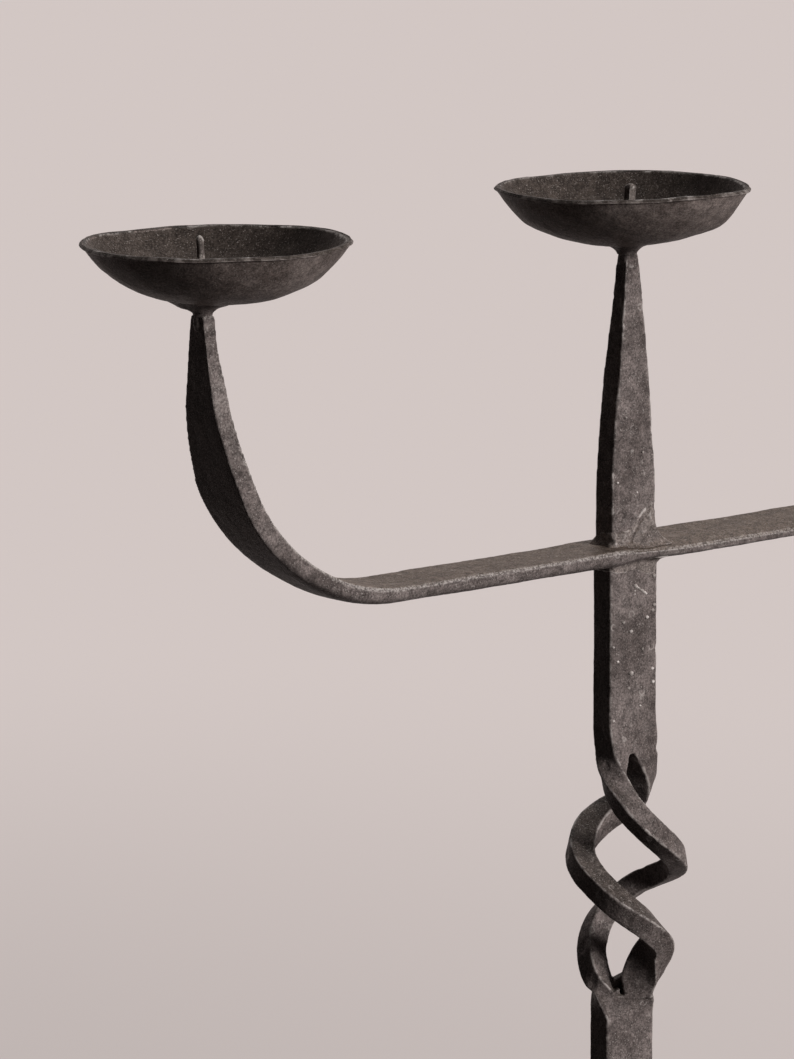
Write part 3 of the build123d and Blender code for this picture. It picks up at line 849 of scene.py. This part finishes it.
def pan_piece(side, pan_x, rim, seed, tilt, bulges):
    """A hammered dish, dented, bulging and uneven at the rim. Bulges: angle, reach, half angle and amount."""
    circle, turned = circle_points(PAN_AROUND)
    noise_ring = level_ring(circle, 0) * RIM_NOISE_RADIUS
    wobble = rough(noise_ring, RIM_WOBBLE_SIZE, seed)
    height = rough(noise_ring, RIM_UNEVEN_SIZE, seed + 5)
    profile = pan_profile()
    rings = []
    for reach, level in profile:
        share = (reach / PAN_RADIUS) ** 3
        stretch = reach * (1 + RIM_WOBBLE_SHARE * wobble * share)
        lifted = level + share * (RIM_UNEVEN * height + tilt * np.cos(turned))
        for angle, bulge_reach, wide, amount in bulges:
            turned_by = (turned - math.radians(angle) + math.pi) % (2 * math.pi) - math.pi
            bulge = amount * hump(turned_by, 0.0, wide) * hump(reach, bulge_reach, BULGE_SPAN)
            stretch = stretch + BULGE_OUT_SHARE * bulge
            lifted = lifted - bulge
        rings.append(level_ring(circle * stretch[:, None], lifted))
    points = np.concatenate(rings) + np.array((pan_x, 0, rim - PAN_DEPTH))
    pan = add_object(side + "_pan_hammered", points, tube_faces(len(profile), len(circle)))
    hammer(pan, seed + 8, sway=0.2, mark=0.42, mark_size=11.0, chip=0.0, grain=0.05)
    dress(pan, pan_iron, "pan_iron", side + "_pan")


# Prickets: taper, and the rounding and the burr at the top, as shares of the height
PRICKET_ROOT_SHARE = 0.08
PRICKET_TAPER_SHARE = 0.16
PRICKET_SECTIONS = 34
BURR_SHARE = 0.97
BURR_SPAN_SHARE = 0.05
TOP_START_SHARE = 0.92
TOP_SPAN_SHARE = 0.083
TOP_LEAST = 0.05


def pricket_piece(side, x, rim, lean, taller, seed, width, corner, burr):
    """A blunt spike, leaning a little, its top rounded or spread by hammering."""
    seat = rim - PAN_DEPTH + PAN_WALL
    height = PRICKET_HEIGHT + taller
    rings = []
    for share in np.linspace(-PRICKET_ROOT_SHARE, 1, PRICKET_SECTIONS):
        risen = max(share, 0)
        taper = 1.0 - PRICKET_TAPER_SHARE * risen
        spread = burr * hump(share, BURR_SHARE, BURR_SPAN_SHARE)
        close = math.sqrt(max(TOP_LEAST, 1 - (max(0, share - TOP_START_SHARE) / TOP_SPAN_SHARE) ** 2))
        outline = box_outline(width, width, corner, 4) * (taper + spread) * close
        rings.append(level_ring(outline + np.array((x + lean * risen, 0)), seat + height * share))
    points = np.concatenate(rings)
    spike = add_object(side + "_pricket_forged", points, tube_faces(len(rings), len(rings[0])))
    hammer(spike, seed, sway=0.12, mark=0.1, mark_size=5.0, chip=0.15)
    dress(spike, spike_iron, "pricket_iron", side + "_pricket")


# Neck welds: a collar on the tip below, and a flare up to the pan's underside
COLLAR_INSET = 0.9
COLLAR_DROP = 10.5
COLLAR_HEIGHT = 5.5
COLLAR_END_SHARE = 0.94
COLLAR_POWER = 0.7
FLARE_DROP = 5.0
FLARE_RADIUS = 13.0
FLARE_LIP = 0.5
NECK_LUMP = 0.45
NECK_LUMP_SIZE = 5.0
NECK_LUMP_FADE = 2.0
NECK_AROUND = 72
COLLAR_SECTIONS = 9
FLARE_SECTIONS = 16
# How uneven the collar and the flare are, and the size of that noise on a circle
COLLAR_UNEVEN_SHARE = 0.1
FLARE_UNEVEN_SHARE = 0.2
NECK_NOISE_SIZE = 11.0
NECK_NOISE_RADIUS = 10.0


def neck_weld_piece(side, neck_x, pan_x, rim, foot_radius, bead, seed):
    """The flare of weld from a neck out to its pan's underside, lumpy and a little one-sided."""
    floor = rim - PAN_DEPTH
    circle, _ = circle_points(NECK_AROUND)
    uneven = rough(level_ring(circle, 0) * NECK_NOISE_RADIUS, NECK_NOISE_SIZE, seed, 2)
    neck = np.array((neck_x, 0))
    rings = []
    for share in np.linspace(0, COLLAR_END_SHARE, COLLAR_SECTIONS):
        reach = foot_radius - COLLAR_INSET + bead * math.sin(math.pi * share) ** COLLAR_POWER
        outline = circle * (reach * (1 + COLLAR_UNEVEN_SHARE * uneven))[:, None] + neck
        rings.append(level_ring(outline, floor - COLLAR_DROP + COLLAR_HEIGHT * share))
    for share in np.linspace(0, 1, FLARE_SECTIONS):
        reach = foot_radius + (FLARE_RADIUS * (1 + FLARE_UNEVEN_SHARE * uneven) - foot_radius) * share**2.0
        outline = circle * reach[:, None] + neck
        away = np.hypot(outline[:, 0] - pan_x, outline[:, 1])
        under = PAN_SWEEP - np.sqrt(PAN_SWEEP**2 - np.clip(away - PAN_FLOOR_RADIUS, 0, None) ** 2)
        level = floor - FLARE_DROP * (1 - share) + under * share + FLARE_LIP * share**4
        rings.append(level_ring(outline, level))
    weld = add_object(side + "_neck_weld_bead", np.concatenate(rings), tube_faces(len(rings), len(circle)))
    points = read_points(weld)
    below = np.clip((floor - points[:, 2]) / NECK_LUMP_FADE, 0, 1)
    push_out(weld, points, NECK_LUMP * rough(points, NECK_LUMP_SIZE, seed + 3, 2) * below)
    dress(weld, bar_iron, "forged_iron", side + "_neck_weld")


# Crossing welds: how far the fillet starts out, runs in behind the bar's face and sinks into the other bar
FILLET_START = 0.3
FILLET_INSET = 0.6
FILLET_BEHIND = 2.5
FILLET_SINK = 1.0
FILLET_FOOT = 1.6
FILLET_CORNER = 1.2
FILLET_STEP = 0.5
FILLET_SECTIONS = 33
FILLET_FRONT = (2.0, 5.0)
# How uneven the fillet's reach, height and surface are, and the sizes of that noise
REACH_UNEVEN_SHARE = 0.35
REACH_UNEVEN_SIZE = 9.0
TALL_UNEVEN_SHARE = 0.3
TALL_UNEVEN_SIZE = 8.0
WELD_LUMP = 0.5
WELD_LUMP_SIZE = 5.0
WELD_GRAIN = 0.18
WELD_GRAIN_SIZE = 1.6
# The upper weld's front: lumps by place, level, half width, half height and how far out
UPPER_LUMPS = (
    (-5.4, 404.0, 2.4, 2.2, 2.4), (3.4, 405.0, 3.4, 3.2, 1.2),
    (8.6, 409.5, 2.4, 4.0, 1.1), (-10.4, 402.6, 0.8, 1.8, 1.2),
)
# Cracks there: place and level of both ends, width and depth
UPPER_CRACKS = (
    (9.6, 415.0, 4.0, 409.4, 0.6, 0.6), (4.4, 410.6, -2.4, 401.8, 0.5, 0.9),
    (-1.5, 407.0, -8.8, 407.4, 0.6, 0.7),
)


def fillet_outline(width, depth):
    """Closely spaced points round a bar, and the way out from each."""
    corners = box_outline(width, depth, FILLET_CORNER, 5)
    fine = []
    for here, there in zip(corners, np.roll(corners, -1, axis=0)):
        steps = max(1, round(np.linalg.norm(there - here) / FILLET_STEP))
        fine += [here + (there - here) * step / steps for step in range(steps)]
    fine = np.array(fine)
    away = fine / np.array((width / 2, depth / 2))
    away = np.sign(away) * np.abs(away) ** 5
    return fine, away / np.linalg.norm(away, axis=1)[:, None]


def fillet_rings(level, direction, bar, reach_by_side, heights, seed):
    """Rings of a hollow fillet, taller to the right, from inside the bar over its face and back inside."""
    width, depth = bar
    low, high = heights
    front, right, back, left = reach_by_side
    fine, away = fillet_outline(width, depth)
    flat = level_ring(fine, level)
    reach = away[:, 1] ** 2 * np.where(away[:, 1] < 0, front, back)
    reach += away[:, 0] ** 2 * np.where(away[:, 0] < 0, left, right)
    reach = reach * (1 + REACH_UNEVEN_SHARE * rough(flat, REACH_UNEVEN_SIZE, seed, 2))
    tall = low + (high - low) * ramp(fine[:, 0], -width / 4, width / 2)
    tall = tall * (1 + TALL_UNEVEN_SHARE * rough(flat, TALL_UNEVEN_SIZE, seed + 4, 2))
    behind = fine - away * FILLET_BEHIND
    rings = [level_ring(behind, level + direction * (low + high) / 4)]
    rings.append(level_ring(fine - away * FILLET_INSET, level + direction * (tall + FILLET_START)))
    for share in np.linspace(0, 1, FILLET_SECTIONS):
        outward = FILLET_START + (reach - FILLET_START) * (1 - math.cos(share * math.pi / 2))
        rise = tall * (1 - math.sin(share * math.pi / 2)) - FILLET_SINK * share
        rings.append(level_ring(fine + away * outward[:, None], level + direction * rise))
    rings.append(level_ring(behind, level - direction * FILLET_FOOT))
    return rings


def weld_marks(points, lumps, cracks):
    """How far lumps and cracks move the points of a weld's front out or in."""
    out = np.zeros(len(points))
    for x, z, half_width, half_height, height in lumps:
        out += height * hump(points[:, 0], x, half_width) * hump(points[:, 2], z, half_height)
    for x, z, end_x, end_z, width, depth in cracks:
        run = np.array((end_x - x, end_z - z))
        part = np.clip(((points[:, 0] - x) * run[0] + (points[:, 2] - z) * run[1]) / run.dot(run), 0, 1)
        gap = np.hypot(points[:, 0] - x - part * run[0], points[:, 2] - z - part * run[1])
        out -= depth * hump(gap, 0.0, width)
    return out * ramp(-points[:, 1], *FILLET_FRONT)


def crossing_weld_piece(node, level, direction, bar, reach_by_side, heights, seed, lumps=(), cracks=()):
    """A hollow fillet of weld from a bar's faces out onto the bar it meets, lumpy along its edges."""
    rings = fillet_rings(level, direction, bar, reach_by_side, heights, seed)
    around = len(rings[0])
    faces = tube_faces(len(rings), around, capped=False)
    last = (len(rings) - 1) * around
    for step in range(around):
        after = (step + 1) % around
        faces.append((last + step, last + after, after, step))
    if direction > 0:
        faces = [tuple(reversed(face)) for face in faces]
    weld = add_object(node + "_bead", np.concatenate(rings), faces)
    points = read_points(weld)
    uneven = WELD_LUMP * rough(points, WELD_LUMP_SIZE, seed + 9, 2)
    uneven += WELD_GRAIN * noise(points, WELD_GRAIN_SIZE, seed + 13)
    push_out(weld, points, uneven + weld_marks(points, lumps, cracks))
    dress(weld, weld_iron, "weld_iron", node)


# All the pieces: the pans' bulges, then how far the welds and the prickets stand off their necks' middles
LEFT_BULGES = ((-25, 36, 0.5, 0.7), (-120, 38, 0.5, 0.5))
CENTRE_BULGES = ((-36, 38, 0.45, 2.2), (140, 38, 0.6, 0.7))
RIGHT_BULGES = ((60, 37, 0.5, 0.8),)
NECK_OUT = 0.8
LEFT_PRICKET_OUT = 0.4
LEFT_PRICKET_X = -NECK_X - LEFT_PRICKET_OUT
CENTRE_PRICKET_X = 1.0

arm_piece()
upper_stem_piece()
lower_stem_piece()
foot_piece("long_foot_bar", 21)
foot_piece("short_foot_bar", 25)

pan_piece("left", -OUTER_PAN_X, OUTER_RIM, seed=31, tilt=0.4, bulges=LEFT_BULGES)
pan_piece("centre", CENTRE_PAN_X, CENTRE_RIM, seed=47, tilt=0.0, bulges=CENTRE_BULGES)
pan_piece("right", OUTER_PAN_X, OUTER_RIM, seed=53, tilt=-0.3, bulges=RIGHT_BULGES)

pricket_piece(
    "left", LEFT_PRICKET_X, OUTER_RIM, lean=-1.4, taller=1.0, seed=61, width=3.2, corner=1.3, burr=0.0,
)
pricket_piece(
    "centre", CENTRE_PRICKET_X, CENTRE_RIM, lean=1.5, taller=-1.2, seed=65, width=4.0, corner=0.5, burr=0.10,
)
pricket_piece(
    "right", NECK_X, OUTER_RIM, lean=0.0, taller=0.0, seed=69, width=3.9, corner=1.0, burr=0.05,
)

neck_weld_piece("left", -NECK_X - NECK_OUT, -OUTER_PAN_X, OUTER_RIM, foot_radius=3.5, bead=0.5, seed=71)
neck_weld_piece("centre", NECK_OUT, CENTRE_PAN_X, CENTRE_RIM, foot_radius=4.0, bead=0.6, seed=75)
neck_weld_piece("right", NECK_X + NECK_OUT, OUTER_PAN_X, OUTER_RIM, foot_radius=3.5, bead=0.5, seed=79)

crossing_weld_piece(
    "upper_crossing_weld", ARM_TOP, 1, (UPPER_WIDTH, UPPER_THICKNESS),
    reach_by_side=(5.0, 8.0, 5.0, 5.4), heights=(5.0, 15.0), seed=83, lumps=UPPER_LUMPS, cracks=UPPER_CRACKS,
)
crossing_weld_piece(
    "lower_crossing_weld", ARM_BOTTOM, -1, (STEM_WIDTH, STEM_THICKNESS),
    reach_by_side=(5.0, 4.0, 5.0, 1.4), heights=(4.0, 6.0), seed=87,
)
crossing_weld_piece(
    "stem_foot_weld", BAR_TOP, 1, (STEM_WIDTH, STEM_THICKNESS),
    reach_by_side=(4.0, 3.4, 4.0, 3.4), heights=(6.0, 6.0), seed=91,
)
washer_piece()


# Stage: one wide pale floor, a soft low key light from the front right, a back light, and a pale surround
PALE = (0.63, 0.567, 0.553)
FLOOR_TONE = (0.52, 0.468, 0.456)
FLOOR_GLOW = 0.46
FLOOR_REACH = 60000.0
# The floor's painted shade behind the object, in the metres that its texture space is in
SHADE_PLACE = (-0.08, 0.6, 0.0)
SHADE_RADIUS = 1.3
SHADE_SHARE = 0.80
# What the floor and the surround throw on the object
DIM_FLOOR = (0.028, 0.025, 0.024)
DIM_SURROUND = (1.0, 0.93, 0.90)
DIM_STRENGTH = 0.02
LAMP_COLOUR = (1.0, 0.97, 0.95)


def show_seen(kit, seen, dim, output):
    """Shows one shader to the rays that see the background itself, and lights the object by a dim one."""
    path = kit.add("ShaderNodeLightPath", {})
    factor = path.outputs["Is Camera Ray"]
    for name in ("Is Glossy Ray", "Is Transmission Ray"):
        factor = kit.combine("MAXIMUM", factor, path.outputs[name])
    mixed = kit.add("ShaderNodeMixShader", {"Fac": factor, 1: dim, 2: seen})
    kit.feed(kit.nodes[output].inputs["Surface"], mixed.outputs["Shader"])


def pale_floor():
    """A wide plain floor, with painted shade a little darker behind the object."""
    material = bpy.data.materials.new("pale_floor")
    kit = NodeKit(material)
    seen = kit.nodes["Principled BSDF"]
    seen.inputs["Roughness"].default_value = 0.9
    seen.inputs["Specular IOR Level"].default_value = 0.0
    seen.inputs["Emission Color"].default_value = (*PALE, 1)
    away = kit.add("ShaderNodeVectorMath", {0: kit.place(), 1: SHADE_PLACE}, operation="DISTANCE")
    tone = kit.spread(away.outputs["Value"], 0.0, SHADE_RADIUS, SHADE_SHARE, 1.0)
    glow = kit.spread(away.outputs["Value"], 0.0, SHADE_RADIUS, SHADE_SHARE * FLOOR_GLOW, FLOOR_GLOW)
    kit.feed(seen.inputs["Base Color"], kit.shaded(FLOOR_TONE, tone))
    kit.feed(seen.inputs["Emission Strength"], glow)
    dim = kit.add("ShaderNodeBsdfDiffuse", {"Color": DIM_FLOOR})
    show_seen(kit, seen.outputs["BSDF"], dim.outputs["BSDF"], "Material Output")
    corners = [(x * FLOOR_REACH, y * FLOOR_REACH, 0) for x, y in ((-1, -1), (1, -1), (1, 1), (-1, 1))]
    floor = add_object("floor", corners, [(0, 1, 2, 3)])
    floor.data.materials.append(material)


def pale_surround():
    """The world: as pale as the photograph's wall where it is seen, and nearly dark as a light."""
    world = bpy.data.worlds.new("pale_surround")
    bpy.context.scene.world = world
    kit = NodeKit(world)
    seen = kit.nodes["Background"]
    seen.inputs["Color"].default_value = (*PALE, 1)
    seen.inputs["Strength"].default_value = 1.0
    dim = kit.add("ShaderNodeBackground", {"Color": DIM_SURROUND, "Strength": DIM_STRENGTH})
    show_seen(kit, seen.outputs["Background"], dim.outputs["Background"], "World Output")


def sun(name, side_angle, height_angle, strength, softness):
    """A soft lamp far away, given by its direction round from the front and above the floor."""
    lamp = bpy.data.lights.new(name, "SUN")
    lamp.energy = strength
    lamp.angle = math.radians(softness)
    lamp.color = LAMP_COLOUR
    side, height = math.radians(side_angle), math.radians(height_angle)
    level = math.cos(height)
    towards = Vector((math.sin(side) * level, -math.cos(side) * level, math.sin(height)))
    obj = bpy.data.objects.new(name, lamp)
    obj.rotation_mode = "QUATERNION"
    obj.rotation_quaternion = towards.to_track_quat("Z", "Y")
    bpy.context.scene.collection.objects.link(obj)


# Camera: measured from the photograph's perspective
CAMERA_PLACE = Vector((-1314.51, -1481.20, 777.72))
YAW = math.radians(38.939)
PITCH = math.radians(10.652)
ROLL = math.radians(-0.254)
SENSOR_WIDTH = 36.0
LENS = 170.0
CLIP_METRES = (0.05, 200.0)


def photo_camera():
    forward = Vector((math.sin(YAW) * math.cos(PITCH), math.cos(YAW) * math.cos(PITCH), -math.sin(PITCH)))
    level_right = Vector((math.cos(YAW), -math.sin(YAW), 0))
    level_up = level_right.cross(forward)
    right = math.cos(ROLL) * level_right + math.sin(ROLL) * level_up
    up = -math.sin(ROLL) * level_right + math.cos(ROLL) * level_up
    lens = bpy.data.cameras.new("camera")
    lens.sensor_width = SENSOR_WIDTH
    lens.lens = LENS
    lens.clip_start, lens.clip_end = CLIP_METRES
    camera = bpy.data.objects.new("camera", lens)
    turned = Matrix((right, up, -forward)).transposed().to_4x4()
    camera.matrix_world = Matrix.Translation(CAMERA_PLACE * MM) @ turned
    bpy.context.scene.collection.objects.link(camera)
    bpy.context.scene.camera = camera


pale_floor()
pale_surround()
sun("key_light", side_angle=19, height_angle=17, strength=3.2, softness=24)
sun("back_light", side_angle=141, height_angle=50, strength=1.5, softness=30)
photo_camera()
bpy.context.scene.view_settings.view_transform = "Standard"
